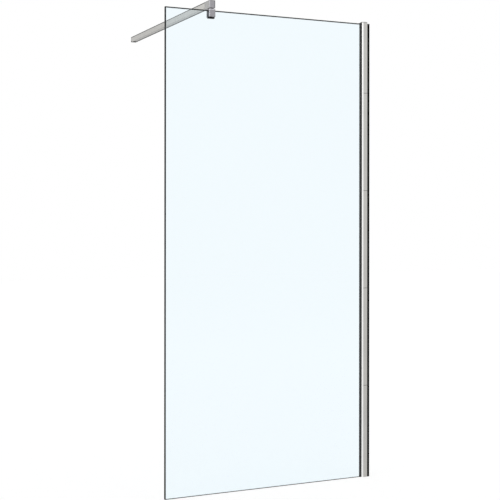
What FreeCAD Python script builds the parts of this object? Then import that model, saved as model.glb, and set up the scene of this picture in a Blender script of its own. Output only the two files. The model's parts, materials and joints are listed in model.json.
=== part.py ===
import FreeCAD, Part
import math
import os
import Sketcher
from FreeCAD import Placement, Rotation, Vector

# A walk-in shower screen: a fixed glass pane held along one upright edge by a two-part wall profile,
# and braced at the top by a square arm that runs back to the opposite wall.
# Frame: +X points at the wall that carries the profile, +Y away from the viewer towards the wall that
# carries the arm, +Z up. The origin is on the first wall, at the foot of the profile, in the middle of
# the glass thickness.

# Driving dimensions in millimetres. Each one becomes a cell of the sheet with its name as alias.
SIZES = {
    "glass_width": 887.0,
    "glass_height": 1900.0,
    "glass_thickness": 8.0,
    "glass_arris": 1.2,
    "slide_clearance": 0.3,
    "cut_overrun": 1.0,
    # Wall channel
    "channel_web": 2.0,
    "channel_leg": 1.8,
    "leg_tip_margin": 1.2,
    "wall_hole_diameter": 5.5,
    "wall_hole_margin": 200.0,
    # Glazing profile
    "wall_gap": 11.0,
    "profile_depth": 24.0,
    "profile_skin": 1.8,
    "profile_crown": 0.8,
    "profile_rise": 3.0,
    "pocket_wall": 1.2,
    "pocket_web": 1.6,
    "mouth_wall": 4.2,
    "mouth_flat": 0.4,
    "nose_radius": 8.0,
    "adjust_in": 5.0,
    "adjust_out": 7.0,
    # Gaskets and packers
    "gasket_depth": 11.0,
    "gasket_lip": 6.5,
    "gasket_tip": 0.8,
    "packer_thickness": 1.5,
    "packer_length": 60.0,
    "packer_margin": 170.0,
    # Locking screws of the wall profile
    "lock_inset": 5.0,
    "lock_bottom_margin": 384.0,
    "lock_top_margin": 295.0,
    "lock_shank": 4.0,
    "lock_hole": 4.6,
    "lock_head": 7.6,
    "lock_head_height": 2.2,
    "lock_tip": 1.0,
    "nut_width": 7.0,
    "nut_thickness": 3.2,
    "nut_room": 1.4,
    "thread_clearance": 0.05,
    "seat_clearance": 0.1,
    "button_diameter": 10.0,
    "button_wall": 0.7,
    "button_room": 0.4,
    # Top cap of the profile
    "cap_thickness": 4.0,
    "cap_edge": 0.6,
    "plug_depth": 8.0,
    # Glass clamp
    "clamp_inset": 192.4,
    "clamp_width": 25.5,
    "clamp_drop": 27.5,
    "clamp_bridge": 3.2,
    "clamp_front_jaw": 10.0,
    "clamp_rear_jaw": 8.0,
    "clamp_edge": 1.0,
    "bevel_height": 3.5,
    "bevel_depth": 1.6,
    "pad_thickness": 3.0,
    "pad_lip": 0.6,
    "pad_foot": 5.0,
    "top_pad": 1.2,
    "plate_thickness": 2.0,
    "plate_gap": 0.5,
    "clamp_screw": 6.0,
    "clamp_screw_inset": 8.0,
    "clamp_screw_sink": 0.6,
    # Swivel
    "stud_diameter": 10.0,
    "stud_thread": 6.0,
    "stud_height": 17.0,
    "stud_edge": 0.8,
    "stud_groove_width": 3.4,
    "stud_groove_depth": 1.2,
    "stud_groove_level": 9.0,
    "bore_clearance": 0.05,
    "bore_room": 1.0,
    "washer_diameter": 19.0,
    "washer_thickness": 2.8,
    # Stabiliser arm
    "arm_reach": 943.0,
    "arm_section": 24.0,
    "arm_wall": 2.0,
    "arm_corner": 1.6,
    "head_height": 30.3,
    "head_back": 34.0,
    "spigot_length": 30.0,
    "spigot_clearance": 0.15,
    "set_screw": 6.0,
    "set_screw_length": 7.0,
    "head_screw": 5.0,
    "dog_point": 2.4,
    "socket_across": 3.0,
    "socket_depth": 2.4,
    # Wall foot of the arm
    "foot_plate": 3.0,
    "foot_spigot": 55.0,
    "foot_wall": 3.0,
    "foot_hole": 5.5,
    "foot_screw_inset": 20.0,
    "foot_screw_proud": 1.0,
}

LOCK_COUNT = 4
WALL_HOLE_COUNT = 4
PACKER_COUNT = 3
FULL_TURN_DEG = 360.0
HEX_SIDES = 6

doc = FreeCAD.newDocument("ShowerScreen")
sheet = doc.addObject("Spreadsheet::Sheet", "Sizes")
for row, (alias, length) in enumerate(SIZES.items(), start=1):
    sheet.set(f"A{row}", alias)
    sheet.set(f"B{row}", str(length))
    sheet.setAlias(f"B{row}", alias)
doc.recompute()


class Size:
    """A length that carries its number and the sheet expression that gives it."""

    def __init__(self, number, formula):
        self.number = number
        self.formula = formula

    def __add__(self, other):
        return Size(self.number + other.number, f"({self.formula} + {other.formula})")

    def __sub__(self, other):
        return Size(self.number - other.number, f"({self.formula} - {other.formula})")

    def __neg__(self):
        return Size(-self.number, f"(-1 * {self.formula})")

    def __mul__(self, other):
        if isinstance(other, Size):
            return Size(self.number * other.number, f"({self.formula} * {other.formula})")
        return Size(self.number * other, f"({self.formula} * {other})")

    def __truediv__(self, other):
        if isinstance(other, Size):
            return Size(self.number / other.number, f"({self.formula} / {other.formula})")
        return Size(self.number / other, f"({self.formula} / {other})")


class Dimensions:
    """Reads the sheet by alias: dim.glass_width is a Size bound to that cell."""

    def __getattr__(self, alias):
        return Size(float(sheet.get(alias)), f"{sheet.Name}.{alias}")


def square_root(size):
    return Size(math.sqrt(size.number), f"sqrt({size.formula})")


def tangent_radius(run, drop):
    """Radius of an arc that leaves a straight line tangent and falls by drop over run."""
    return (run * run + drop * drop) / (drop * 2)


dim = Dimensions()
ZERO = Size(0.0, "0")

# Half depths across the wall profile, from the glass outwards
glass_half = dim.glass_thickness / 2
profile_half = dim.profile_depth / 2
skin_inner = profile_half - dim.profile_skin
leg_outer = skin_inner - dim.slide_clearance
leg_inner = leg_outer - dim.channel_leg
pocket_outer = leg_inner - dim.slide_clearance
pocket_inner = pocket_outer - dim.pocket_wall
mouth_half = pocket_inner + dim.mouth_flat
nose_drop = profile_half - mouth_half
nose_run = square_root(nose_drop * (dim.nose_radius * 2 - nose_drop))

# Distances along X, measured from the wall towards the glass
lock_reach = dim.wall_gap + dim.lock_inset
channel_reach = lock_reach + dim.adjust_out + dim.lock_hole / 2 + dim.leg_tip_margin
mouth_reach = channel_reach + dim.adjust_in + dim.slide_clearance + dim.mouth_wall
pocket_back_reach = lock_reach + dim.nut_width / 2 + dim.nut_room
pocket_floor_reach = pocket_back_reach + dim.pocket_web
glass_edge_reach = pocket_floor_reach + dim.packer_thickness
free_edge_reach = glass_edge_reach + dim.glass_width
clamp_x = dim.clamp_inset - free_edge_reach

# Heights
profile_height = dim.glass_height + dim.profile_rise
lock_pitch = (profile_height - dim.lock_bottom_margin - dim.lock_top_margin) / (LOCK_COUNT - 1)
wall_hole_pitch = (dim.glass_height - dim.wall_hole_margin * 2) / (WALL_HOLE_COUNT - 1)
bridge_bottom = dim.glass_height + dim.top_pad
bridge_top = bridge_bottom + dim.clamp_bridge
head_bottom = bridge_top + dim.washer_thickness
head_top = head_bottom + dim.head_height
arm_bottom = head_top - dim.arm_section
arm_axis = head_top - dim.arm_section / 2

# Depths through the clamp and the arm
front_jaw_inner = glass_half + dim.pad_thickness
clamp_front = front_jaw_inner + dim.clamp_front_jaw
plate_back = glass_half + dim.pad_thickness + dim.plate_thickness
rear_jaw_inner = plate_back + dim.plate_gap
clamp_back = rear_jaw_inner + dim.clamp_rear_jaw
tube_end = dim.arm_reach - dim.foot_plate
tube_inner = dim.arm_section - dim.arm_wall * 2
spigot_section = tube_inner - dim.spigot_clearance * 2


def place(item, x, y, z):
    for axis, length in zip("xyz", (x, y, z)):
        item.setExpression(f".Placement.Base.{axis}", length.formula)


def new_body(label, x=ZERO, y=ZERO, z=ZERO):
    body = doc.addObject("PartDesign::Body", label)
    body.Label = label
    place(body, x, y, z)
    return body


def new_sketch(body, plane, name, offset=ZERO):
    sketch = body.newObject("Sketcher::SketchObject", name)
    support = next(feature for feature in body.Origin.OriginFeatures if feature.Role == plane)
    sketch.AttachmentSupport = [(support, "")]
    sketch.MapMode = "FlatFace"
    sketch.setExpression(".AttachmentOffset.Base.z", offset.formula)
    return sketch


def bind(sketch, kind, *terms):
    """Add a constraint whose last term is a Size, and bind it to that size's expression."""
    *references, length = terms
    index = sketch.addConstraint(Sketcher.Constraint(kind, *references, length.number))
    sketch.setExpression(f"Constraints[{index}]", length.formula)


def pin_point(sketch, geometry, position, x, y):
    bind(sketch, "DistanceX", -1, 1, geometry, position, x)
    bind(sketch, "DistanceY", -1, 1, geometry, position, y)


def add_outline(sketch, corners):
    """Closed outline. A corner is (x, y), or (x, y, radius, centre) where an arc leaves it; centre is a
    pair of Sizes. Arcs run the short way round to the next corner."""
    ends = []
    for index, corner in enumerate(corners):
        following = corners[(index + 1) % len(corners)]
        start = Vector(corner[0].number, corner[1].number, 0)
        finish = Vector(following[0].number, following[1].number, 0)
        if len(corner) == 2:
            ends.append((sketch.addGeometry(Part.LineSegment(start, finish)), 1, 2))
            continue
        radius, centre = corner[2], Vector(corner[3][0].number, corner[3][1].number, 0)
        turns_left = (start - centre).cross(finish - centre).z > 0
        first, last = (start, finish) if turns_left else (finish, start)
        angles = [math.atan2(point.y - centre.y, point.x - centre.x) for point in (first, last)]
        if angles[1] < angles[0]:
            angles[1] += math.tau
        circle = Part.Circle(centre, Vector(0, 0, 1), radius.number)
        geometry = sketch.addGeometry(Part.ArcOfCircle(circle, *angles))
        ends.append((geometry, 1, 2) if turns_left else (geometry, 2, 1))
        bind(sketch, "Radius", geometry, radius)
    for (geometry, _, finish), (following, begin, _) in zip(ends, ends[1:] + ends[:1]):
        sketch.addConstraint(Sketcher.Constraint("Coincident", geometry, finish, following, begin))
    for (geometry, begin, _), corner in zip(ends, corners):
        pin_point(sketch, geometry, begin, corner[0], corner[1])


def add_rectangle(sketch, left, low, right, high):
    add_outline(sketch, [(left, low), (right, low), (right, high), (left, high)])


def add_rounded_square(sketch, half, corner):
    """A square about the sketch's origin with rounded corners."""
    flat = half - corner
    points = []
    for x_sign, y_sign in ((1, -1), (1, 1), (-1, 1), (-1, -1)):
        centre = (flat * x_sign, flat * y_sign)
        across, along = (half * x_sign, flat * y_sign), (flat * x_sign, half * y_sign)
        first, last = (along, across) if x_sign * y_sign < 0 else (across, along)
        points += [(*first, corner, centre), last]
    add_outline(sketch, points)


def add_slot(sketch, left, right, level, width):
    """A round-ended slot along the sketch's first axis, given by the centres of its ends."""
    radius = width / 2
    low, high = level - radius, level + radius
    left_end, right_end = (left, level), (right, level)
    add_outline(sketch, [
        (left, low), (right, low, radius, right_end), (right + radius, level, radius, right_end),
        (right, high), (left, high, radius, left_end), (left - radius, level, radius, left_end),
    ])


def add_circle(sketch, x, y, diameter):
    circle = Part.Circle(Vector(x.number, y.number, 0), Vector(0, 0, 1), diameter.number / 2)
    geometry = sketch.addGeometry(circle)
    pin_point(sketch, geometry, 3, x, y)
    bind(sketch, "Diameter", geometry, diameter)


def pad(body, sketch, length, symmetric=False, backwards=False):
    feature = body.newObject("PartDesign::Pad", f"{body.Name}_{sketch.Name}_pad")
    feature.Profile = sketch
    feature.setExpression("Length", length.formula)
    feature.SideType = "Symmetric" if symmetric else "One side"
    feature.Reversed = backwards
    doc.recompute()
    return feature


def cut(body, sketch, length, backwards=False):
    """Pocket of the given length; it has to take material away."""
    before = body.Shape.Volume
    feature = body.newObject("PartDesign::Pocket", f"{body.Name}_{sketch.Name}_cut")
    feature.Profile = sketch
    feature.setExpression("Length", length.formula)
    feature.Reversed = backwards
    doc.recompute()
    if body.Shape.Volume >= before:
        raise RuntimeError(f"{feature.Name} cuts nothing")
    return feature


def repeat_up(body, feature, pitch, count):
    """Repeat a cut along Z."""
    before = body.Shape.Volume
    pattern = body.newObject("PartDesign::LinearPattern", f"{feature.Name}_row")
    pattern.Originals = [feature]
    upright = next(axis for axis in body.Origin.OriginFeatures if axis.Role == "Z_Axis")
    pattern.Direction = (upright, [""])
    pattern.setExpression("Length", (pitch * (count - 1)).formula)
    pattern.Occurrences = count
    body.Tip = pattern
    doc.recompute()
    if body.Shape.Volume >= before:
        raise RuntimeError(f"{pattern.Name} repeats nothing")


def soften(body, feature, radius, kind="Fillet"):
    """Round or chamfer every edge of the feature."""
    edge = body.newObject(f"PartDesign::{kind}", f"{feature.Name}_{kind.lower()}")
    edge.Base = (feature, [""])
    edge.UseAllEdges = True
    edge.setExpression("Radius" if kind == "Fillet" else "Size", radius.formula)
    doc.recompute()
    return edge


def box(name, x, y, z, corner):
    item = doc.addObject("Part::Box", name)
    for side, length in zip(("Length", "Width", "Height"), (x, y, z)):
        item.setExpression(side, length.formula)
    place(item, *corner)
    return item


def rod(name, diameter, length, start, direction):
    item = doc.addObject("Part::Cylinder", name)
    item.setExpression("Radius", (diameter / 2).formula)
    item.setExpression("Height", length.formula)
    item.Placement = Placement(Vector(), Rotation(Vector(0, 0, 1), direction))
    place(item, *start)
    return item


def hex_rod(name, across, length, start, direction):
    item = doc.addObject("Part::Prism", name)
    item.Polygon = HEX_SIDES
    item.setExpression("Circumradius", (across / math.sqrt(HEX_SIDES / 2)).formula)
    item.setExpression("Height", length.formula)
    item.Placement = Placement(Vector(), Rotation(Vector(0, 0, 1), direction))
    place(item, *start)
    return item


def fuse(name, base, tool):
    item = doc.addObject("Part::Fuse", name)
    item.Base, item.Tool = base, tool
    return item


def subtract(name, base, tool):
    item = doc.addObject("Part::Cut", name)
    item.Base, item.Tool = base, tool
    return item


def group(label, members):
    """Identical fasteners share one node as separate solids."""
    item = doc.addObject("Part::Compound", label)
    item.Label = label
    item.Links = members
    return item


def named(label, item):
    item.Label = label
    return item


def outer_section():
    """Outside of the wall profile: the front from its wall edge round the nose to the mouth, then the rear
    from the mouth back to the wall edge. The front is crowned and runs tangent into its nose."""
    crown_radius = tangent_radius(mouth_reach - nose_run - dim.wall_gap, dim.profile_crown)
    nose_start = nose_run - mouth_reach
    nose_level = profile_half - dim.nose_radius
    crown_centre = (nose_start, crown_radius - profile_half)
    front = [
        (-dim.wall_gap, dim.profile_crown - profile_half, crown_radius, crown_centre),
        (nose_start, -profile_half, dim.nose_radius, (nose_start, -nose_level)),
        (-mouth_reach, -mouth_half),
    ]
    rear = [
        (-mouth_reach, mouth_half, dim.nose_radius, (nose_start, nose_level)),
        (nose_start, profile_half),
        (-dim.wall_gap, profile_half),
    ]
    return front, rear


def make_wall_channel():
    """U-section screwed to the wall; its rear leg has a slot for each locking screw."""
    body = new_body("wall_channel")
    section = new_sketch(body, "XY_Plane", "channel_section")
    add_outline(section, [
        (ZERO, -leg_outer), (ZERO, leg_outer),
        (-channel_reach, leg_outer), (-channel_reach, leg_inner),
        (-dim.channel_web, leg_inner), (-dim.channel_web, -leg_inner),
        (-channel_reach, -leg_inner), (-channel_reach, -leg_outer),
    ])
    pad(body, section, dim.glass_height)

    hole = new_sketch(body, "YZ_Plane", "wall_hole", dim.cut_overrun)
    add_circle(hole, ZERO, dim.wall_hole_margin, dim.wall_hole_diameter)
    drilled = cut(body, hole, dim.channel_web + dim.cut_overrun * 2)
    repeat_up(body, drilled, wall_hole_pitch, WALL_HOLE_COUNT)

    slot = new_sketch(body, "XZ_Plane", "lock_slot")
    add_slot(slot, -(lock_reach + dim.adjust_out), dim.adjust_in - lock_reach, dim.lock_bottom_margin,
             dim.lock_hole)
    slotted = cut(body, slot, leg_outer + dim.cut_overrun)
    repeat_up(body, slotted, lock_pitch, LOCK_COUNT)
    return body


def make_glazing_profile():
    """Crowned extrusion that wraps the wall channel and holds the glass in an inner pocket."""
    body = new_body("glazing_profile")
    section = new_sketch(body, "XY_Plane", "profile_section")
    front, rear = outer_section()
    mouth_inner = dim.mouth_wall - mouth_reach
    add_outline(section, front + [
        (-mouth_reach, -pocket_inner), (-pocket_floor_reach, -pocket_inner),
        (-pocket_floor_reach, pocket_inner), (-mouth_reach, pocket_inner),
    ] + rear + [
        (-dim.wall_gap, skin_inner), (mouth_inner, skin_inner),
        (mouth_inner, pocket_outer), (-pocket_back_reach, pocket_outer),
        (-pocket_back_reach, -pocket_outer), (mouth_inner, -pocket_outer),
        (mouth_inner, -skin_inner), (-dim.wall_gap, -skin_inner),
    ])
    pad(body, section, profile_height)
    hole = new_sketch(body, "XZ_Plane", "lock_hole")
    add_circle(hole, -lock_reach, dim.lock_bottom_margin, dim.lock_hole)
    drilled = cut(body, hole, profile_half + dim.cut_overrun)
    repeat_up(body, drilled, lock_pitch, LOCK_COUNT)
    return body


def make_gasket(label, side):
    """Strip between the glass and the pocket wall, with a bulged lip that carries the nose on to the glass."""
    body = new_body(label)
    section = new_sketch(body, "XY_Plane", f"{label}_section")
    root = dim.gasket_depth - mouth_reach
    tip = -(mouth_reach + dim.gasket_lip)
    tip_level = glass_half + dim.gasket_tip
    bulge = tangent_radius(dim.gasket_lip, mouth_half - tip_level)
    bulge_centre = (-mouth_reach, (mouth_half - bulge) * side)
    add_outline(section, [
        (root, glass_half * side), (tip, glass_half * side),
        (tip, tip_level * side, bulge, bulge_centre), (-mouth_reach, mouth_half * side),
        (-mouth_reach, pocket_inner * side), (root, pocket_inner * side),
    ])
    pad(body, section, profile_height)
    return body


def make_glass_panel():
    """Toughened pane with ground arrises."""
    body = new_body("glass_panel")
    face = new_sketch(body, "XZ_Plane", "glass_face")
    add_rectangle(face, -free_edge_reach, ZERO, -glass_edge_reach, dim.glass_height)
    pane = pad(body, face, dim.glass_thickness, symmetric=True)
    soften(body, pane, dim.glass_arris, "Chamfer")
    return body


def make_edge_packers():
    """Plastic packers that keep the glass edge off the pocket floor."""
    pitch = (dim.glass_height - dim.packer_margin * 2 - dim.packer_length) / (PACKER_COUNT - 1)
    packers = []
    for index in range(PACKER_COUNT):
        corner = (-glass_edge_reach, -glass_half, dim.packer_margin + pitch * index)
        sides = (dim.packer_thickness, dim.glass_thickness, dim.packer_length)
        packers.append(box(f"packer_{index}", *sides, corner))
    return group("edge_packers", packers)


def make_locking_fasteners():
    """Screws through the rear skin into square nuts inside the channel, each under a push-on button."""
    inwards, outwards = Vector(0, -1, 0), Vector(0, 1, 0)
    nut_face = leg_inner - dim.seat_clearance
    nut_back = nut_face - dim.nut_thickness
    shank_length = profile_half - nut_back + dim.lock_tip
    button_height = dim.lock_head_height + dim.button_room + dim.button_wall
    screws, nuts, buttons = [], [], []
    for index in range(LOCK_COUNT):
        level = dim.lock_bottom_margin + lock_pitch * index
        seat = (-lock_reach, profile_half, level)
        shank = rod(f"lock_shank_{index}", dim.lock_shank, shank_length, seat, inwards)
        head = rod(f"lock_head_{index}", dim.lock_head, dim.lock_head_height, seat, outwards)
        screws.append(fuse(f"lock_screw_{index}", shank, head))
        corner = (-(lock_reach + dim.nut_width / 2), nut_back, level - dim.nut_width / 2)
        block = box(f"nut_block_{index}", dim.nut_width, dim.nut_thickness, dim.nut_width, corner)
        bore_start = (-lock_reach, nut_back - dim.cut_overrun, level)
        bore_length = dim.nut_thickness + dim.cut_overrun * 2
        bore = rod(f"nut_bore_{index}", dim.lock_shank + dim.thread_clearance * 2, bore_length,
                   bore_start, outwards)
        nuts.append(subtract(f"nut_{index}", block, bore))
        shell = rod(f"button_shell_{index}", dim.button_diameter, button_height, seat, outwards)
        room_start = (-lock_reach, profile_half - dim.cut_overrun, level)
        room_length = dim.cut_overrun + dim.lock_head_height + dim.button_room
        room = rod(f"button_room_{index}", dim.button_diameter - dim.button_wall * 2, room_length,
                   room_start, outwards)
        buttons.append(subtract(f"button_{index}", shell, room))
    return [group("locking_screws", screws), group("locking_nuts", nuts),
            group("locking_screw_caps", buttons)]


def make_profile_top_cap():
    """End cap with the profile's own outline, plugged into the space behind the glass pocket."""
    body = new_body("profile_top_cap", z=profile_height)
    outline = new_sketch(body, "XY_Plane", "cap_outline")
    front, rear = outer_section()
    add_outline(outline, front + rear)
    plate = pad(body, outline, dim.cap_thickness)
    softened = soften(body, plate, dim.cap_edge, "Chamfer")
    plug = new_sketch(body, "XY_Plane", "cap_plug")
    plug_near = -(dim.wall_gap + dim.profile_skin)
    plug_far = dim.seat_clearance - pocket_back_reach
    plug_half = pocket_inner - dim.seat_clearance
    add_rectangle(plug, plug_far, -plug_half, plug_near, plug_half)
    body.Tip = softened
    pad(body, plug, dim.plug_depth, backwards=True)
    return body


def make_clamp_saddle():
    """Block with bevelled shoulders, slotted to sit over the glass and tapped for the swivel stud and the
    clamp screws."""
    body = new_body("clamp_saddle", x=clamp_x)
    side = new_sketch(body, "YZ_Plane", "saddle_side")
    foot = dim.glass_height - dim.clamp_drop
    shoulder = bridge_top - dim.bevel_height
    add_outline(side, [
        (-clamp_front, foot), (clamp_back, foot),
        (clamp_back, shoulder), (clamp_back - dim.bevel_depth, bridge_top),
        (dim.bevel_depth - clamp_front, bridge_top), (-clamp_front, shoulder),
    ])
    block = pad(body, side, dim.clamp_width, symmetric=True)
    soften(body, block, dim.clamp_edge, "Chamfer")
    slot = new_sketch(body, "YZ_Plane", "saddle_slot", -(dim.clamp_width / 2 + dim.cut_overrun))
    add_rectangle(slot, -front_jaw_inner, foot - dim.cut_overrun, rear_jaw_inner, bridge_bottom)
    cut(body, slot, dim.clamp_width + dim.cut_overrun * 2, backwards=True)
    stud_hole = new_sketch(body, "XY_Plane", "stud_hole", bridge_top + dim.cut_overrun)
    add_circle(stud_hole, ZERO, ZERO, dim.stud_thread + dim.thread_clearance * 2)
    cut(body, stud_hole, dim.clamp_bridge + dim.cut_overrun * 2)
    screw_holes = new_sketch(body, "XZ_Plane", "clamp_screw_holes", -(clamp_back + dim.cut_overrun))
    for level in clamp_screw_levels():
        add_circle(screw_holes, ZERO, level, dim.clamp_screw + dim.thread_clearance * 2)
    cut(body, screw_holes, dim.clamp_rear_jaw + dim.cut_overrun * 2, backwards=True)
    return body


def clamp_screw_levels():
    return (dim.glass_height - dim.clamp_screw_inset,
            dim.glass_height - dim.clamp_drop + dim.clamp_screw_inset)


def make_clamp_pads():
    """Rubber pads between clamp and glass; they stand a little proud of the jaws."""
    width = dim.clamp_width + dim.pad_lip * 2
    left = clamp_x - width / 2
    foot = dim.glass_height - dim.clamp_drop - dim.pad_foot
    height = bridge_bottom - foot
    front = box("clamp_front_pad", width, dim.pad_thickness, height, (left, -front_jaw_inner, foot))
    rear = box("clamp_rear_pad", width, dim.pad_thickness, height, (left, glass_half, foot))
    top = box("clamp_top_pad", width, dim.glass_thickness, dim.top_pad,
              (left, -glass_half, dim.glass_height))
    return [front, rear, top]


def make_clamp_pressure_plate():
    """Steel plate that spreads the clamp screws' load over the rear pad."""
    left = clamp_x - dim.clamp_width / 2
    foot = dim.glass_height - dim.clamp_drop
    height = bridge_bottom - dim.seat_clearance - foot
    return box("clamp_pressure_plate", dim.clamp_width, dim.plate_thickness, height,
               (left, plate_back - dim.plate_thickness, foot))


def socket_screw(name, diameter, length, tip, direction):
    """Headless screw from its tip to its socket end, with a hexagon socket."""
    shank = rod(f"{name}_shank", diameter, length, tip, direction)
    steps = (direction.x, direction.y, direction.z)
    depth = length - dim.socket_depth
    start = tuple(place_at + depth * step for place_at, step in zip(tip, steps))
    socket = hex_rod(f"{name}_socket", dim.socket_across, dim.socket_depth + dim.cut_overrun, start,
                     direction)
    return subtract(name, shank, socket)


def make_clamp_screws():
    length = clamp_back - plate_back - dim.clamp_screw_sink
    screws = []
    for index, level in enumerate(clamp_screw_levels()):
        tip = (clamp_x, plate_back, level)
        screws.append(socket_screw(f"clamp_screw_{index}", dim.clamp_screw, length, tip, Vector(0, 1, 0)))
    return group("clamp_grub_screws", screws)


def make_swivel_stud():
    """Shouldered stud screwed into the saddle; the arm turns on it, caught by the groove."""
    body = new_body("swivel_stud", x=clamp_x, z=bridge_bottom)
    half = new_sketch(body, "XZ_Plane", "stud_half")
    radius, thread = dim.stud_diameter / 2, dim.stud_thread / 2
    shoulder = dim.clamp_bridge
    top = shoulder + dim.washer_thickness + dim.stud_height
    groove = shoulder + dim.washer_thickness + dim.stud_groove_level
    groove_low, groove_high = groove - dim.stud_groove_width / 2, groove + dim.stud_groove_width / 2
    waist = radius - dim.stud_groove_depth
    add_outline(half, [
        (ZERO, ZERO), (thread, ZERO), (thread, shoulder), (radius, shoulder),
        (radius, groove_low), (waist, groove_low), (waist, groove_high), (radius, groove_high),
        (radius, top - dim.stud_edge), (radius - dim.stud_edge, top), (ZERO, top),
    ])
    turned = body.newObject("PartDesign::Revolution", "stud_turned")
    turned.Profile = half
    turned.ReferenceAxis = (half, ["V_Axis"])
    turned.Angle = FULL_TURN_DEG
    doc.recompute()
    return body


def make_swivel_washer():
    upwards = Vector(0, 0, 1)
    disc = rod("washer_disc", dim.washer_diameter, dim.washer_thickness, (clamp_x, ZERO, bridge_top),
               upwards)
    bore = rod("washer_bore", dim.stud_diameter + dim.slide_clearance * 2,
               dim.washer_thickness + dim.cut_overrun * 2,
               (clamp_x, ZERO, bridge_top - dim.cut_overrun), upwards)
    return named("swivel_washer", subtract("swivel_washer", disc, bore))


def make_arm_head():
    """Block that turns on the stud and carries the arm tube on a square spigot."""
    body = new_body("arm_head", x=clamp_x)
    side = new_sketch(body, "YZ_Plane", "head_side")
    add_rectangle(side, -clamp_front, head_bottom, dim.head_back, head_top)
    block = pad(body, side, dim.arm_section, symmetric=True)
    soften(body, block, dim.clamp_edge)
    spigot = new_sketch(body, "XZ_Plane", "head_spigot", -(dim.head_back - dim.clamp_edge))
    half = spigot_section / 2
    add_rectangle(spigot, -half, arm_axis - half, half, arm_axis + half)
    pad(body, spigot, dim.spigot_length + dim.clamp_edge, backwards=True)
    bore = new_sketch(body, "XY_Plane", "stud_bore", head_bottom - dim.cut_overrun)
    add_circle(bore, ZERO, ZERO, dim.stud_diameter + dim.bore_clearance * 2)
    cut(body, bore, dim.cut_overrun + dim.stud_height + dim.bore_room, backwards=True)
    screw_hole = new_sketch(body, "YZ_Plane", "head_screw_hole", dim.arm_section / 2 + dim.cut_overrun)
    add_circle(screw_hole, ZERO, head_bottom + dim.stud_groove_level,
               dim.head_screw + dim.thread_clearance * 2)
    cut(body, screw_hole, dim.arm_section / 2 + dim.cut_overrun)
    tapped = new_sketch(body, "XY_Plane", "spigot_screw_hole", arm_bottom)
    add_circle(tapped, ZERO, dim.head_back + dim.spigot_length / 2,
               dim.set_screw + dim.thread_clearance * 2)
    cut(body, tapped, dim.set_screw_length + dim.seat_clearance, backwards=True)
    return body


def make_head_grub_screw():
    """Dog-point screw in the head; its point runs in the stud's groove and keeps the arm from lifting."""
    level = head_bottom + dim.stud_groove_level
    waist = dim.stud_diameter / 2 - dim.stud_groove_depth
    point_start = waist + dim.slide_clearance
    body_start = dim.stud_diameter / 2 + dim.slide_clearance
    length = dim.arm_section / 2 - body_start - dim.seat_clearance
    along = Vector(1, 0, 0)
    shank = socket_screw("head_screw_body", dim.head_screw, length, (clamp_x + body_start, ZERO, level),
                         along)
    point = rod("head_screw_point", dim.dog_point, body_start - point_start,
                (clamp_x + point_start, ZERO, level), along)
    return named("head_grub_screw", fuse("head_grub_screw", shank, point))


def make_arm_tube():
    """Square tube with rounded corners, drilled below for its two set screws."""
    body = new_body("arm_tube", x=clamp_x, y=dim.head_back, z=arm_axis)
    length = tube_end - dim.head_back
    outside = new_sketch(body, "XZ_Plane", "tube_outside")
    add_rounded_square(outside, dim.arm_section / 2, dim.arm_corner)
    pad(body, outside, length, backwards=True)
    inside = new_sketch(body, "XZ_Plane", "tube_inside", dim.cut_overrun)
    half = tube_inner / 2
    add_rectangle(inside, -half, -half, half, half)
    cut(body, inside, length + dim.cut_overrun * 2)
    below = new_sketch(body, "XY_Plane", "set_screw_holes", -(dim.arm_section / 2 + dim.cut_overrun))
    for distance in (dim.spigot_length / 2, length - dim.foot_screw_inset):
        add_circle(below, ZERO, distance, dim.set_screw + dim.thread_clearance * 2)
    cut(body, below, dim.arm_wall + dim.cut_overrun * 2, backwards=True)
    return body


def make_set_screws():
    """One screw holds the tube on the head's spigot, one locks it on the wall foot."""
    down = Vector(0, 0, -1)
    head_tip = (clamp_x, dim.head_back + dim.spigot_length / 2, arm_bottom + dim.set_screw_length)
    tube_screw = socket_screw("tube_grub_screw", dim.set_screw, dim.set_screw_length, head_tip, down)
    foot_gap = dim.seat_clearance
    foot_tip = (clamp_x, tube_end - dim.foot_screw_inset,
                arm_axis - spigot_section / 2 - foot_gap)
    foot_length = dim.arm_wall + dim.spigot_clearance - foot_gap + dim.foot_screw_proud
    foot_screw = socket_screw("foot_grub_screw", dim.set_screw, foot_length, foot_tip, down)
    return [named("tube_grub_screw", tube_screw), named("foot_grub_screw", foot_screw)]


def make_wall_foot():
    """Wall plate with a hollow spigot that telescopes in the tube; one screw through its floor."""
    body = new_body("wall_foot", x=clamp_x, y=tube_end, z=arm_axis)
    plate_outline = new_sketch(body, "XZ_Plane", "foot_plate")
    add_rounded_square(plate_outline, dim.arm_section / 2, dim.arm_corner)
    pad(body, plate_outline, dim.foot_plate, backwards=True)
    spigot = new_sketch(body, "XZ_Plane", "foot_spigot")
    half = spigot_section / 2
    add_rectangle(spigot, -half, -half, half, half)
    pad(body, spigot, dim.foot_spigot)
    hollow = new_sketch(body, "XZ_Plane", "foot_hollow")
    room = half - dim.foot_wall
    add_rectangle(hollow, -room, -room, room, room)
    cut(body, hollow, dim.foot_spigot + dim.cut_overrun, backwards=True)
    hole = new_sketch(body, "XZ_Plane", "foot_hole", dim.cut_overrun)
    add_circle(hole, ZERO, ZERO, dim.foot_hole)
    cut(body, hole, dim.foot_plate + dim.cut_overrun * 2)
    return body


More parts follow.
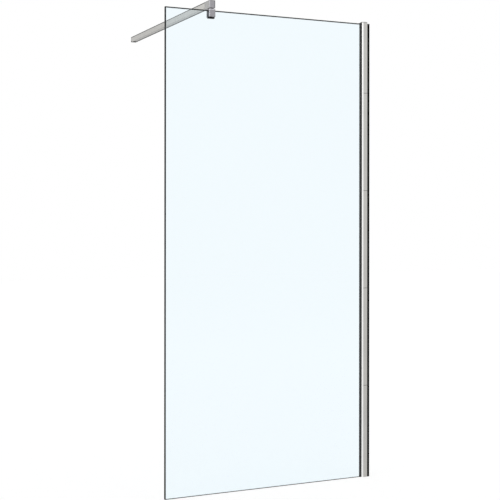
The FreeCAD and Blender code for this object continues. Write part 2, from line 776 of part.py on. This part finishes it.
def check_and_export(parts):
    """Stop on any failed feature or bad solid, then write one file for each sub-part."""
    doc.recompute()
    for item in doc.Objects:
        if "Invalid" in item.State or "Error" in item.State:
            raise RuntimeError(f"{item.Label} failed: {item.State}")
    for part in parts:
        if part.Shape.isNull() or not part.Shape.isValid() or not part.Shape.Solids:
            raise RuntimeError(f"{part.Label} has no valid solid")
    os.makedirs("parts", exist_ok=True)
    for part in parts:
        part.Shape.exportStep(f"parts/{part.Label}.step")
        extent = part.Shape.BoundBox
        print(f"{part.Label:22s} {len(part.Shape.Solids)} solids {part.Shape.Volume:12.1f} mm3 "
              f"x {extent.XMin:8.2f} {extent.XMax:8.2f} y {extent.YMin:8.2f} {extent.YMax:8.2f} "
              f"z {extent.ZMin:8.2f} {extent.ZMax:8.2f}")


check_and_export([
    make_wall_channel(),
    make_glazing_profile(),
    make_gasket("front_gasket", -1),
    make_gasket("rear_gasket", 1),
    make_glass_panel(),
    make_edge_packers(),
    *make_locking_fasteners(),
    make_profile_top_cap(),
    make_clamp_saddle(),
    *make_clamp_pads(),
    make_clamp_pressure_plate(),
    make_clamp_screws(),
    make_swivel_stud(),
    make_swivel_washer(),
    make_arm_head(),
    make_head_grub_screw(),
    make_arm_tube(),
    *make_set_screws(),
    make_wall_foot(),
])
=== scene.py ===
import json
import math
from collections import namedtuple

import bpy
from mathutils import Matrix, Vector


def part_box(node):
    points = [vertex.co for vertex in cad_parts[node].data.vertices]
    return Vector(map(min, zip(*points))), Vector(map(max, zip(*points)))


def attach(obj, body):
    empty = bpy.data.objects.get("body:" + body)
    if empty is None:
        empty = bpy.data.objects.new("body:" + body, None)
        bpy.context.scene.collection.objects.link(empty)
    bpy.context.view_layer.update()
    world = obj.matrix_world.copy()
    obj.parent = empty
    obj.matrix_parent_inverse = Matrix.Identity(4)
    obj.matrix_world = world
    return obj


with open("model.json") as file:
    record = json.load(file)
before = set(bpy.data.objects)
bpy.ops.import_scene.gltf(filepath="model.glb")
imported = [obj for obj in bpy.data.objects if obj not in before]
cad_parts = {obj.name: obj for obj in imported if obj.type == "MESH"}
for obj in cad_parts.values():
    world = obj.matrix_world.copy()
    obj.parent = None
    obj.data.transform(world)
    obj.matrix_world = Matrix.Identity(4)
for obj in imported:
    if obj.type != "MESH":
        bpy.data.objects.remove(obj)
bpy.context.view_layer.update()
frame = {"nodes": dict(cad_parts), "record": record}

# A walk-in shower screen on a white studio floor. All lengths are in metres, in the CAD frame: +X into the
# wall that carries the profile, +Y along the stabiliser arm, +Z up.

NODES = frame["nodes"]
GLASS_LOW, GLASS_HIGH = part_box("glass_panel")
PROFILE_LOW, PROFILE_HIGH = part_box("glazing_profile")
LOCK_LOW, LOCK_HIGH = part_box("locking_nuts")

# Camera: level but for a slight roll, with a long lens, standing to the left of the free edge of the glass
IMAGE_SIDE_PX = 500
FOCAL_LENGTH_PX = 1066.65
HORIZON_PX = 216.47
SENSOR_WIDTH_MM = 36.0
CAMERA_LEVEL_DEG = 90.0
CAMERA_TURN_DEG = 24.899
CAMERA_ROLL_DEG = -0.042
CAMERA_LEFT_OF_GLASS = 1.4305
CAMERA_BEFORE_GLASS = 3.8636
CAMERA_HEIGHT = 1.0910

# Light at a plain level. Lamps are square, with their sides in metres and their power in watts.
WORLD_LIGHT = 0.70
WHITE = (1.0, 1.0, 1.0, 1.0)
Lamp = namedtuple("Lamp", "place aim side power")
LAMPS = {
    "key_lamp": Lamp(place=(-3.9, -1.6, 3.7), aim=(-0.10, 0.0, 1.2), side=2.2, power=45.0),
    "top_lamp": Lamp(place=(0.3, -1.2, 4.2), aim=(-0.6, 0.0, 1.5), side=1.8, power=22.0),
    "back_lamp": Lamp(place=(-1.9, 3.3, 2.5), aim=(-0.7, 0.3, 1.9), side=1.6, power=1.2),
}

# Floor
FLOOR_COLOUR = (0.20, 0.20, 0.20, 1.0)
FLOOR_ROUGHNESS = 0.9
FLOOR_SPECULAR = 0.0
FLOOR_GLOW = 0.865
FLOOR_GLOW_REFLECTED = 0.735
FLOOR_HALF_SIDE = 14.0
FLOOR_DROP = 0.0005
# The glow gives way where the lamps light the floor most, so that white stays even and shadows show
LIT_SPOT = (-2.0, -1.1, 0.0)
LIT_REACH = 6.5
LIT_SHARE = 0.058

# Colours as they should render, in linear light
GLASS_TINT = (0.889, 0.964, 1.0)
# Painted dark reflection on the pane's ground edges and rim
GLASS_PAINTED_EDGE_COLOUR = (0.012, 0.016, 0.016)
PROFILE_COLOUR = (0.560, 0.553, 0.528)
NOSE_HIGHLIGHT_COLOUR = (0.985, 0.982, 0.972)
ARM_COLOUR = (0.440, 0.434, 0.414)
CLAMP_COLOUR = (0.360, 0.355, 0.378)
# Painted light: the head's side faces are lighter than its front
HEAD_LIT_SIDE_COLOUR = (0.416, 0.414, 0.409)
FOOT_COLOUR = (0.300, 0.296, 0.312)
STEEL_COLOUR = (0.520, 0.520, 0.530)
CHANNEL_COLOUR = (0.006, 0.006, 0.006)
RUBBER_COLOUR = (0.034, 0.036, 0.036)
PAD_COLOUR = (0.006, 0.007, 0.007)
NYLON_COLOUR = (0.022, 0.022, 0.023)
PACKER_COLOUR = (0.780, 0.780, 0.760)
CAP_COLOUR = (0.560, 0.558, 0.545)

# Noise: densities are in waves a metre. Most of a noise lies between the two levels.
NOISE_LOW = 0.3
NOISE_HIGH = 0.7
SOFT_DETAIL = 2.0
FINE_DETAIL = 3.0

# Pane
GLASS_IOR = 1.52
GLASS_SPECULAR = 0.10
ARRIS_MARGIN = 0.00005
PANE_CLOUDS = (1.3, 1.3, 0.9)
PANE_DARKEST = 0.996
GRIND_DENSITY = 900.0
GRIND_ROUGHNESS = (0.18, 0.32)
# The painted dark reflection that the ground edge throws into the faces of the pane: its width at the free
# edge, and shares of that at the top and at the foot
RIM_WIDTH = 0.0044
RIM_TOP_SHARE = 0.91
RIM_FOOT_SHARE = 0.436
RIM_FADE_SHARE = 0.12

# Brushed aluminium of the profile and the arm
BRUSH_ACROSS = 2600.0
BRUSH_ALONG = 9.0
BRUSH_SHARE = 0.6
BRUSH_CLOUDS = (14.0, 14.0, 5.0)
BRUSH_SHADES = (0.89, 1.09)
BRUSH_ROUGHNESS = (0.24, 0.42)
BRUSH_BUMP = 0.16
BRUSH_DEPTH = 0.00004

# Profile: scribed marks, a painted highlight along the nose, and a painted shadow in the mouth at its tip,
# which widens towards the top
SCRIBE_COUNT = 4
SCRIBE_WIDTH = 0.0018
SCRIBE_SHADE = 0.32
NOSE_WIDTH = 0.0048
NOSE_FADE = 0.0020
MOUTH_WIDTH_TOP = 0.0014
MOUTH_FADE = 0.0003
MOUTH_SHADE = 0.45

# Painted light: the arm is a little paler from the clamp to its middle than towards the wall
ARM_PALE_TO = 0.25
ARM_PLAIN_FROM = 0.65
ARM_PLAIN_SHADE = 0.98
ARM_PALE_GAIN = 0.13

# Lines along edges of a box. An edge is named by its faces, each with the reach of the line from that face.
# A face that stands alone is coloured all over.
EDGE_ROUGHNESS = 0.70
EDGE_FADE_SHARE = 1.2
# Painted shade: dark lines along the arm's corners and a dark band under its wall end
ARM_EDGE_SHADE = 0.22
# Painted shade: dark lines along edges of the head and the saddle
CLAMP_EDGE_SHADE = 0.48
# Painted highlight: pale lines along the front left edges of the head and the saddle
CLAMP_HIGHLIGHT_GAIN = 1.45
ARM_EDGES = (
    (("x_low", 0.0012), ("z_high", 0.0025)),
    (("x_high", 0.0060), ("z_low", 0.0012)),
    (("y_high", 0.0080), ("z_low", 0.0025)),
)
# Painted shade along three of the head's edges
HEAD_EDGES = (
    (("y_low", 0.0014), ("z_high", 0.0014)),
    (("x_low", 0.0014), ("z_high", 0.0014)),
    (("x_high", 0.0022), ("y_low", 0.0022)),
)
# Painted light on the head's side faces
HEAD_LIT_SIDES = ((("x_low", 0.0006),), (("x_high", 0.0006),))
# Painted highlight along the head's front left edge
HEAD_HIGHLIGHT_EDGES = ((("x_low", 0.0012), ("y_low", 0.0012)),)
# Painted shade along the saddle's front right edge
SADDLE_EDGES = ((("x_high", 0.0010), ("y_low", 0.0010)),)
# Painted highlight along the saddle's front left edge
SADDLE_HIGHLIGHT_EDGES = ((("x_low", 0.0014), ("y_low", 0.0014)),)
FOOT_EDGES = ((("y_high", 0.0016),),)

# Fine-grained finishes by name; rough is the lowest and the highest roughness
Grain = namedtuple("Grain", "colour metallic rough density bump")
GRAINS = {
    "screw_steel": Grain(STEEL_COLOUR, metallic=1.0, rough=(0.22, 0.34), density=1800.0, bump=0.08),
    "gasket_rubber": Grain(RUBBER_COLOUR, metallic=0.0, rough=(0.55, 0.75), density=2200.0, bump=0.20),
    "pad_rubber": Grain(PAD_COLOUR, metallic=0.0, rough=(0.70, 0.85), density=2200.0, bump=0.20),
    "cap_plastic": Grain(CAP_COLOUR, metallic=0.0, rough=(0.34, 0.48), density=2400.0, bump=0.12),
    "packer_plastic": Grain(PACKER_COLOUR, metallic=0.0, rough=(0.40, 0.52), density=1500.0, bump=0.10),
    "black_nylon": Grain(NYLON_COLOUR, metallic=0.0, rough=(0.42, 0.55), density=2000.0, bump=0.12),
    "dark_channel": Grain(CHANNEL_COLOUR, metallic=1.0, rough=(0.42, 0.55), density=2400.0, bump=0.10),
    "head_metal": Grain(CLAMP_COLOUR, metallic=0.75, rough=(0.34, 0.46), density=2600.0, bump=0.10),
    "saddle_metal": Grain(CLAMP_COLOUR, metallic=0.75, rough=(0.34, 0.46), density=2600.0, bump=0.10),
    "foot_metal": Grain(FOOT_COLOUR, metallic=0.75, rough=(0.34, 0.46), density=2600.0, bump=0.10),
}
GRAIN_SHARE = 0.5
GRAIN_CLOUDS = (60.0, 60.0, 60.0)
GRAIN_SHADES = (0.92, 1.06)
GRAIN_DEPTH = 0.00005

# Nodes with a finish of their own. The others have the finish that their material slot names.
OWN_FINISH = {
    "clamp_front_pad": "pad_rubber",
    "clamp_rear_pad": "pad_rubber",
    "clamp_top_pad": "pad_rubber",
    "clamp_saddle": "saddle_metal",
    "arm_head": "head_metal",
    "arm_tube": "arm_aluminium",
    "wall_foot": "foot_metal",
}

# Ring round the foot's grub screw
RING_RADIUS = 0.0085
RING_HOLE_RADIUS = 0.0034
RING_HEIGHT = 0.0014
RING_EDGE = 0.0004
RING_SEGMENTS = 48


class Nodes:
    """Shorthand for building one material's node tree around a Principled shader."""

    def __init__(self, name):
        self.material = bpy.data.materials.new(name)
        self.material.use_nodes = True
        self.tree = self.material.node_tree
        self.shader = self.tree.nodes["Principled BSDF"]
        self.output = self.tree.nodes["Material Output"]
        self.coordinates = self.tree.nodes.new("ShaderNodeTexCoord").outputs["Object"]

    def constant(self, **sockets):
        """Set plain numbers and colours on the shader's own sockets."""
        for name, value in sockets.items():
            self.shader.inputs[name.replace("_", " ")].default_value = value

    def drive(self, socket, source):
        """Link a socket of the shader to a source."""
        self.tree.links.new(source, self.shader.inputs[socket])

    def math(self, operation, first, second=0.0, third=0.0):
        """One step of arithmetic on numbers and sockets."""
        node = self.tree.nodes.new("ShaderNodeMath")
        node.operation = operation
        for index, value in enumerate((first, second, third)):
            if isinstance(value, (int, float)):
                node.inputs[index].default_value = value
            else:
                self.tree.links.new(value, node.inputs[index])
        return node.outputs[0]

    def axis(self, name):
        """One of the surface point's coordinates."""
        split = self.tree.nodes.new("ShaderNodeSeparateXYZ")
        self.tree.links.new(self.coordinates, split.inputs[0])
        return split.outputs[name]

    def noise(self, density, detail=SOFT_DETAIL):
        """Noise with its own density along each axis."""
        mapping = self.tree.nodes.new("ShaderNodeMapping")
        mapping.inputs["Scale"].default_value = density
        self.tree.links.new(self.coordinates, mapping.inputs["Vector"])
        texture = self.tree.nodes.new("ShaderNodeTexNoise")
        texture.inputs["Scale"].default_value = 1.0
        texture.inputs["Detail"].default_value = detail
        self.tree.links.new(mapping.outputs[0], texture.inputs["Vector"])
        return texture.outputs[0]

    def range(self, source, low, high):
        """Spread a noise over a range."""
        node = self.tree.nodes.new("ShaderNodeMapRange")
        node.inputs["From Min"].default_value = NOISE_LOW
        node.inputs["From Max"].default_value = NOISE_HIGH
        node.inputs["To Min"].default_value = low
        node.inputs["To Max"].default_value = high
        self.tree.links.new(source, node.inputs["Value"])
        return node.outputs[0]

    def tone(self, fine, fine_share, cloud):
        """A fine noise and a cloudy one added up, as a number from 0 to 1."""
        fine_part = self.math("MULTIPLY", fine, fine_share)
        cloud_part = self.math("MULTIPLY", cloud, 1.0 - fine_share)
        return self.range(self.math("ADD", fine_part, cloud_part), 0.0, 1.0)

    def fade(self, source, near, far):
        """1 up to the near distance, falling smoothly to 0 at the far one."""
        node = self.tree.nodes.new("ShaderNodeMapRange")
        node.interpolation_type = "SMOOTHSTEP"
        node.inputs["From Min"].default_value = near
        node.inputs["From Max"].default_value = far
        node.inputs["To Min"].default_value = 1.0
        node.inputs["To Max"].default_value = 0.0
        self.tree.links.new(source, node.inputs["Value"])
        return node.outputs[0]

    def blend(self, factor, first, second):
        """Colour mix; first and second are colours or sockets."""
        node = self.tree.nodes.new("ShaderNodeMix")
        node.data_type = "RGBA"
        self.tree.links.new(factor, node.inputs["Factor"])
        for name, value in (("A", first), ("B", second)):
            socket = next(s for s in node.inputs if s.name == name and s.type == "RGBA")
            if isinstance(value, tuple):
                socket.default_value = value
            else:
                self.tree.links.new(value, socket)
        return next(s for s in node.outputs if s.type == "RGBA")

    def scaled(self, colour, factor):
        """A colour from one node times a number from another."""
        node = self.tree.nodes.new("ShaderNodeVectorMath")
        node.operation = "SCALE"
        self.tree.links.new(colour, node.inputs[0])
        self.tree.links.new(factor, node.inputs["Scale"])
        return node.outputs[0]

    def bump(self, height, strength, distance):
        """Raise the surface by a noise."""
        node = self.tree.nodes.new("ShaderNodeBump")
        node.inputs["Strength"].default_value = strength
        node.inputs["Distance"].default_value = distance
        self.tree.links.new(height, node.inputs["Height"])
        self.drive("Normal", node.outputs[0])


def shade(colour, factor=1.0):
    """A colour, lightened or darkened, as red, green, blue and alpha."""
    return tuple(channel * factor for channel in colour) + (1.0,)


def near_levels(nodes, first, pitch, count, width):
    """1 within half a width of each of a row of heights, else 0."""
    height = nodes.axis("Z")
    total = None
    for index in range(count):
        distance = nodes.math("ABSOLUTE", nodes.math("SUBTRACT", height, first + pitch * index))
        line = nodes.math("LESS_THAN", distance, width / 2)
        total = line if total is None else nodes.math("ADD", total, line)
    return total


def edge_lines(nodes, box, edges):
    """1 along the named edges of a box, within a reach of each of the edge's faces, fading to 0 beyond."""
    low, high = box
    total = None
    for edge in edges:
        farthest = None
        for face, reach in edge:
            axis, end = face.split("_")
            index = "xyz".index(axis)
            place = nodes.axis(axis.upper())
            span = (place, low[index]) if end == "low" else (high[index], place)
            inset = nodes.math("DIVIDE", nodes.math("SUBTRACT", *span), reach)
            farthest = inset if farthest is None else nodes.math("MAXIMUM", farthest, inset)
        line = nodes.fade(farthest, 1.0, 1.0 + EDGE_FADE_SHARE)
        total = line if total is None else nodes.math("MAXIMUM", total, line)
    return total


def profile_details(nodes, surface):
    """Scribed marks at the heights of the locking screws, a painted highlight along the nose, and a painted
    shadow at its mouth.
    """
    nut = LOCK_HIGH.x - LOCK_LOW.x
    pitch = (LOCK_HIGH.z - LOCK_LOW.z - nut) / (SCRIBE_COUNT - 1)
    marks = near_levels(nodes, LOCK_LOW.z + nut / 2, pitch, SCRIBE_COUNT, SCRIBE_WIDTH)
    surface = nodes.blend(marks, surface, shade(PROFILE_COLOUR, SCRIBE_SHADE))
    from_mouth = nodes.math("SUBTRACT", nodes.axis("X"), PROFILE_LOW.x)
    # Painted highlight: the nose is coloured near white
    nose = nodes.fade(from_mouth, NOSE_WIDTH, NOSE_WIDTH + NOSE_FADE)
    surface = nodes.blend(nose, surface, shade(NOSE_HIGHLIGHT_COLOUR))
    # Painted shadow: the mouth is darkened, more widely towards the top
    mouth_width = nodes.math("MULTIPLY", nodes.axis("Z"), MOUTH_WIDTH_TOP / PROFILE_HIGH.z)
    mouth = nodes.fade(nodes.math("SUBTRACT", from_mouth, mouth_width), 0.0, MOUTH_FADE)
    return nodes.blend(mouth, surface, shade(PROFILE_COLOUR, MOUTH_SHADE)), marks


def arm_details(nodes, surface):
    """Painted light that makes it paler towards the clamp, and painted shade along its corners and under its
    wall end.
    """
    # Painted light: paler towards the clamp
    pale = nodes.fade(nodes.axis("Y"), ARM_PALE_TO, ARM_PLAIN_FROM)
    factor = nodes.math("MULTIPLY_ADD", pale, ARM_PALE_GAIN, ARM_PLAIN_SHADE)
    # Painted shade along the corners and under the wall end
    corners = lined("arm_tube", (shade(ARM_COLOUR, ARM_EDGE_SHADE), ARM_EDGES))
    return corners(nodes, nodes.scaled(surface, factor))


def lined(node, *bands):
    """Details that colour faces and edges of a node's box, band by band. The last band is dulled as well."""
    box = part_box(node)

    def details(nodes, surface):
        for colour, edges in bands:
            lines = edge_lines(nodes, box, edges)
            surface = nodes.blend(lines, surface, colour)
        return surface, lines

    return details


def satin_aluminium(name, colour, along, details):
    """Anodised extrusion with fine brush lines along it."""
    nodes = Nodes(name)
    nodes.constant(Metallic=1.0)
    density = [BRUSH_ACROSS, BRUSH_ACROSS, BRUSH_ACROSS]
    density["XYZ".index(along)] = BRUSH_ALONG
    brush = nodes.noise(density, FINE_DETAIL)
    tone = nodes.tone(brush, BRUSH_SHARE, nodes.noise(BRUSH_CLOUDS))
    darkest, palest = BRUSH_SHADES
    surface, dull = details(nodes, nodes.blend(tone, shade(colour, darkest), shade(colour, palest)))
    nodes.drive("Base Color", surface)
    rough = nodes.range(brush, *BRUSH_ROUGHNESS)
    nodes.drive("Roughness", nodes.math("MAXIMUM", rough, nodes.math("MULTIPLY", dull, EDGE_ROUGHNESS)))
    nodes.bump(brush, BRUSH_BUMP, BRUSH_DEPTH)
    return nodes.material


def clear_glass():
    """Clear pane whose ground edges, and a rim of its faces next to them, carry a painted dark reflection,
    as thick glass looks end on. Lamps shine through it.
    """
    nodes = Nodes("clear_glass")
    nodes.constant(IOR=GLASS_IOR, Specular_IOR_Level=GLASS_SPECULAR)
    depth = nodes.math("ABSOLUTE", nodes.axis("Y"))
    ground = nodes.math("LESS_THAN", depth, GLASS_HIGH.y - ARRIS_MARGIN)
    edge = nodes.math("MAXIMUM", ground, rim(nodes))
    cloud = nodes.range(nodes.noise(PANE_CLOUDS), 0.0, 1.0)
    pane = nodes.blend(cloud, shade(GLASS_TINT, PANE_DARKEST), shade(GLASS_TINT))
    grind = nodes.noise((GRIND_DENSITY, GRIND_DENSITY, GRIND_DENSITY))
    # Painted dark reflection on the ground edges and the rim
    nodes.drive("Base Color", nodes.blend(edge, pane, shade(GLASS_PAINTED_EDGE_COLOUR)))
    nodes.drive("Transmission Weight", nodes.math("SUBTRACT", 1.0, edge))
    nodes.drive("Roughness", nodes.math("MULTIPLY", edge, nodes.range(grind, *GRIND_ROUGHNESS)))
    light_path = nodes.tree.nodes.new("ShaderNodeLightPath")
    clear = nodes.tree.nodes.new("ShaderNodeBsdfTransparent")
    clear.inputs["Color"].default_value = shade(GLASS_TINT)
    mix = nodes.tree.nodes.new("ShaderNodeMixShader")
    nodes.tree.links.new(light_path.outputs["Is Shadow Ray"], mix.inputs[0])
    nodes.tree.links.new(nodes.shader.outputs[0], mix.inputs[1])
    nodes.tree.links.new(clear.outputs[0], mix.inputs[2])
    nodes.tree.links.new(mix.outputs[0], nodes.output.inputs["Surface"])
    return nodes.material


def rim(nodes):
    """1 at the outline of the pane, fading to 0 over the width of the painted dark rim."""
    free = nodes.math("SUBTRACT", nodes.axis("X"), GLASS_LOW.x)
    top = nodes.math("SUBTRACT", GLASS_HIGH.z, nodes.axis("Z"))
    foot = nodes.math("SUBTRACT", nodes.axis("Z"), GLASS_LOW.z)
    nearest = nodes.math("MINIMUM", free, nodes.math("DIVIDE", top, RIM_TOP_SHARE))
    nearest = nodes.math("MINIMUM", nearest, nodes.math("DIVIDE", foot, RIM_FOOT_SHARE))
    return nodes.fade(nearest, RIM_WIDTH * (1.0 - RIM_FADE_SHARE), RIM_WIDTH * (1.0 + RIM_FADE_SHARE))


def grained(name, grain, details=None):
    """Fine-grained finish: blasted metal, moulded plastic or rubber."""
    nodes = Nodes(name)
    nodes.constant(Metallic=grain.metallic)
    fine = nodes.noise((grain.density, grain.density, grain.density), FINE_DETAIL)
    tone = nodes.tone(fine, GRAIN_SHARE, nodes.noise(GRAIN_CLOUDS))
    darkest, palest = GRAIN_SHADES
    surface = nodes.blend(tone, shade(grain.colour, darkest), shade(grain.colour, palest))
    rough = nodes.range(fine, *grain.rough)
    if details:
        surface, dull = details(nodes, surface)
        rough = nodes.math("MAXIMUM", rough, nodes.math("MULTIPLY", dull, EDGE_ROUGHNESS))
    nodes.drive("Base Color", surface)
    nodes.drive("Roughness", rough)
    nodes.bump(fine, grain.bump, GRAIN_DEPTH)
    return nodes.material


def make_finishes():
    """Every finish by name."""
    # Painted highlight along the clamp's front left edges
    edge_highlight = shade(CLAMP_COLOUR, CLAMP_HIGHLIGHT_GAIN)
    # Painted shade along the clamp's edges
    dark = shade(CLAMP_COLOUR, CLAMP_EDGE_SHADE)
    # Painted light on the head's side faces
    sides = shade(HEAD_LIT_SIDE_COLOUR)
    details = {
        "head_metal": lined("arm_head", (sides, HEAD_LIT_SIDES), (edge_highlight, HEAD_HIGHLIGHT_EDGES), (dark, HEAD_EDGES)),
        "saddle_metal": lined("clamp_saddle", (edge_highlight, SADDLE_HIGHLIGHT_EDGES), (dark, SADDLE_EDGES)),
        "foot_metal": lined("wall_foot", (shade(NYLON_COLOUR), FOOT_EDGES)),
    }
    finishes = {name: grained(name, grain, details.get(name)) for name, grain in GRAINS.items()}
    finishes["clear_glass"] = clear_glass()
    finishes["satin_aluminium"] = satin_aluminium("satin_aluminium", PROFILE_COLOUR, "Z", profile_details)
    finishes["arm_aluminium"] = satin_aluminium("arm_aluminium", ARM_COLOUR, "Y", arm_details)
    return finishes


def dress():
    """Give every CAD node its finished material."""
    finishes = make_finishes()
    slot_of = {entry["node"]: entry["material_slot"] for entry in frame["record"]["subparts"]}
    for name, node in NODES.items():
        finish = finishes[OWN_FINISH.get(name, slot_of[name])]
        for slot in node.material_slots:
            slot.material = finish


def add_screw_ring():
    """Moulded black ring round the foot's grub screw, under the wall end of the arm."""
    low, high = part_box("foot_grub_screw")
    middle = (low + high) / 2
    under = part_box("arm_tube")[0].z
    section = [
        (RING_HOLE_RADIUS, 0.0),
        (RING_HOLE_RADIUS, RING_HEIGHT - RING_EDGE),
        (RING_HOLE_RADIUS + RING_EDGE, RING_HEIGHT),
        (RING_RADIUS - RING_EDGE * 2, RING_HEIGHT),
        (RING_RADIUS - RING_EDGE, RING_HEIGHT - RING_EDGE),
        (RING_RADIUS, 0.0),
    ]
    points = []
    faces = []
    for turn in range(RING_SEGMENTS):
        angle = math.tau * turn / RING_SEGMENTS
        here = turn * len(section)
        onward = (turn + 1) % RING_SEGMENTS * len(section)
        for step, (radius, depth) in enumerate(section):
            x = middle.x + radius * math.cos(angle)
            y = middle.y + radius * math.sin(angle)
            points.append((x, y, under - depth))
            after = (step + 1) % len(section)
            faces.append((here + step, here + after, onward + after, onward + step))
    mesh = bpy.data.meshes.new("foot_screw_ring")
    mesh.from_pydata(points, [], faces)
    ring = bpy.data.objects.new("foot_screw_ring", mesh)
    bpy.context.scene.collection.objects.link(ring)
    mesh.materials.append(NODES["swivel_washer"].material_slots[0].material)
    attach(ring, "arm")


def add_floor():
    """White floor that still takes a soft shadow."""
    side = FLOOR_HALF_SIDE
    corners = [(-side, -side), (side, -side), (side, side), (-side, side)]
    mesh = bpy.data.meshes.new("floor")
    mesh.from_pydata([(x, y, GLASS_LOW.z - FLOOR_DROP) for x, y in corners], [], [(0, 1, 2, 3)])
    floor = bpy.data.objects.new("floor", mesh)
    bpy.context.scene.collection.objects.link(floor)
    nodes = Nodes("studio_floor")
    nodes.constant(Base_Color=FLOOR_COLOUR, Roughness=FLOOR_ROUGHNESS, Specular_IOR_Level=FLOOR_SPECULAR)
    glow = nodes.tree.nodes.new("ShaderNodeEmission")
    glow.inputs["Color"].default_value = WHITE
    away = nodes.tree.nodes.new("ShaderNodeVectorMath")
    away.operation = "DISTANCE"
    nodes.tree.links.new(nodes.coordinates, away.inputs[0])
    away.inputs[1].default_value = LIT_SPOT
    lit = nodes.math("MULTIPLY", nodes.fade(away.outputs["Value"], 0.0, LIT_REACH), LIT_SHARE)
    seen = seen_rays(nodes.tree, FLOOR_GLOW, FLOOR_GLOW_REFLECTED)
    level = nodes.math("MULTIPLY", seen, nodes.math("SUBTRACT", 1.0, lit))
    nodes.tree.links.new(level, glow.inputs["Strength"])
    add = nodes.tree.nodes.new("ShaderNodeAddShader")
    nodes.tree.links.new(nodes.shader.outputs[0], add.inputs[0])
    nodes.tree.links.new(glow.outputs[0], add.inputs[1])
    nodes.tree.links.new(add.outputs[0], nodes.output.inputs["Surface"])
    mesh.materials.append(nodes.material)


def seen_rays(tree, direct, reflected):
    """One level for camera and transmission rays, another for glossy rays, and nothing for the rest."""
    light_path = tree.nodes.new("ShaderNodeLightPath")
    levels = {"Is Camera Ray": direct, "Is Transmission Ray": direct, "Is Glossy Ray": reflected}
    total = None
    for name, level in levels.items():
        scale = tree.nodes.new("ShaderNodeMath")
        scale.operation = "MULTIPLY"
        scale.inputs[1].default_value = level
        tree.links.new(light_path.outputs[name], scale.inputs[0])
        if total is None:
            total = scale.outputs[0]
            continue
        largest = tree.nodes.new("ShaderNodeMath")
        largest.operation = "MAXIMUM"
        tree.links.new(total, largest.inputs[0])
        tree.links.new(scale.outputs[0], largest.inputs[1])
        total = largest.outputs[0]
    return total


def add_world():
    """White where it is seen or reflected, plain soft light elsewhere."""
    world = bpy.data.worlds.new("studio")
    bpy.context.scene.world = world
    world.use_nodes = True
    tree = world.node_tree
    background = tree.nodes["Background"]
    background.inputs["Color"].default_value = WHITE
    seen = seen_rays(tree, 1.0 - WORLD_LIGHT, 1.0 - WORLD_LIGHT)
    level = tree.nodes.new("ShaderNodeMath")
    level.operation = "ADD"
    level.inputs[1].default_value = WORLD_LIGHT
    tree.links.new(seen, level.inputs[0])
    tree.links.new(level.outputs[0], background.inputs["Strength"])


def add_lamps():
    """Square area lamps, each turned to its aim."""
    for name, lamp in LAMPS.items():
        data = bpy.data.lights.new(name, "AREA")
        data.shape = "SQUARE"
        data.size = lamp.side
        data.energy = lamp.power
        light = bpy.data.objects.new(name, data)
        light.location = lamp.place
        light.rotation_mode = "QUATERNION"
        light.rotation_quaternion = (Vector(lamp.aim) - Vector(lamp.place)).to_track_quat("-Z", "Y")
        bpy.context.scene.collection.objects.link(light)


def add_camera():
    """The photograph's viewing angle and framing."""
    data = bpy.data.cameras.new("photo_camera")
    data.sensor_width = SENSOR_WIDTH_MM
    data.lens = SENSOR_WIDTH_MM * FOCAL_LENGTH_PX / IMAGE_SIDE_PX
    data.shift_y = (HORIZON_PX - IMAGE_SIDE_PX / 2) / IMAGE_SIDE_PX
    camera = bpy.data.objects.new("photo_camera", data)
    middle = (GLASS_LOW.y + GLASS_HIGH.y) / 2
    camera.location = (GLASS_LOW.x - CAMERA_LEFT_OF_GLASS, middle - CAMERA_BEFORE_GLASS,
                       GLASS_LOW.z + CAMERA_HEIGHT)
    camera.rotation_euler = (math.radians(CAMERA_LEVEL_DEG), math.radians(CAMERA_ROLL_DEG),
                             -math.radians(CAMERA_TURN_DEG))
    bpy.context.scene.collection.objects.link(camera)
    bpy.context.scene.camera = camera


dress()
add_screw_ring()
add_floor()
add_world()
add_lamps()
add_camera()
bpy.context.scene.view_settings.view_transform = "Standard"
